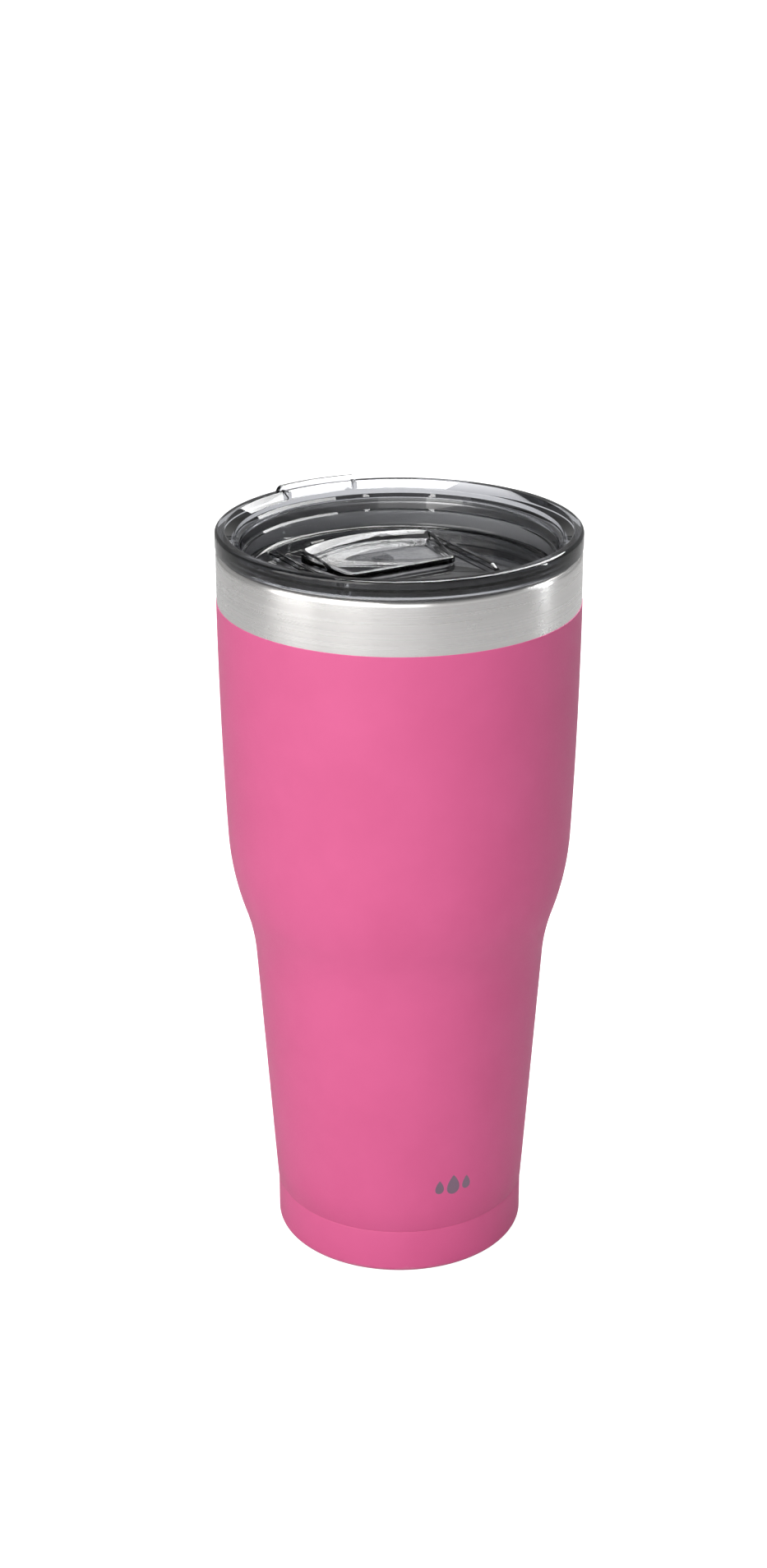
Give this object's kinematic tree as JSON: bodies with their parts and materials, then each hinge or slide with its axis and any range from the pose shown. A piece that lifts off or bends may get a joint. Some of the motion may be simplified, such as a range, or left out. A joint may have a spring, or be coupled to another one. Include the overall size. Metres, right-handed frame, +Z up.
{
  "type": "insulated tumbler with lid",
  "caption": "Double-walled steel tumbler with a powder-coated side, a bare steel band at the mouth, and a clear press-in lid whose slider opens and closes a curved drinking opening.",
  "frame": {"origin": "centre of the face the tumbler stands on", "axes": "+Z up along the tumbler's axis; the drinking lip is at the rim 30 degrees from +Y towards -X, and the slider moves along that direction"},
  "size_m": [0.1016, 0.1016, 0.2188],
  "materials": {
    "brushed_steel": "fine circular brushing",
    "base_steel": "satin, drawn",
    "liner_steel": "electropolished satin",
    "powder_coat": "matte, finely textured powder coat",
    "foil": "bright foil",
    "solder_glass": "fused glass",
    "getter": "pressed powder",
    "smoky_clear": "clear smoke-grey moulding, polished",
    "slider_clear": "clear smoke-grey moulding, polished",
    "silicone": "translucent silicone"
  },
  "bodies": {
    "tumbler": {"outer_shell": "brushed_steel", "base_cup": "base_steel", "powder_coat": "powder_coat", "inner_liner": "liner_steel", "liner_bottom": "liner_steel", "foil_wrap": "foil", "vacuum_base": "base_steel", "seal_bead": "solder_glass", "getter_clip": "base_steel", "getter_pellet": "getter"},
    "lid": {"lid_body": "smoky_clear", "lid_gasket": "silicone"},
    "slider": {"slider_body": "slider_clear", "slider_seal": "silicone", "slider_keeper": "slider_clear"}
  },
  "joints": [
    {"name": "lid_lift", "type": "slide", "parent": "tumbler", "child": "lid", "axis": [0, 0, 1], "range_m": [0, 0.04]},
    {"name": "slider_slide", "type": "slide", "parent": "lid", "child": "slider", "axis": [-0.5, 0.866, 0], "range_m": [0, 0.013]}
  ]
}
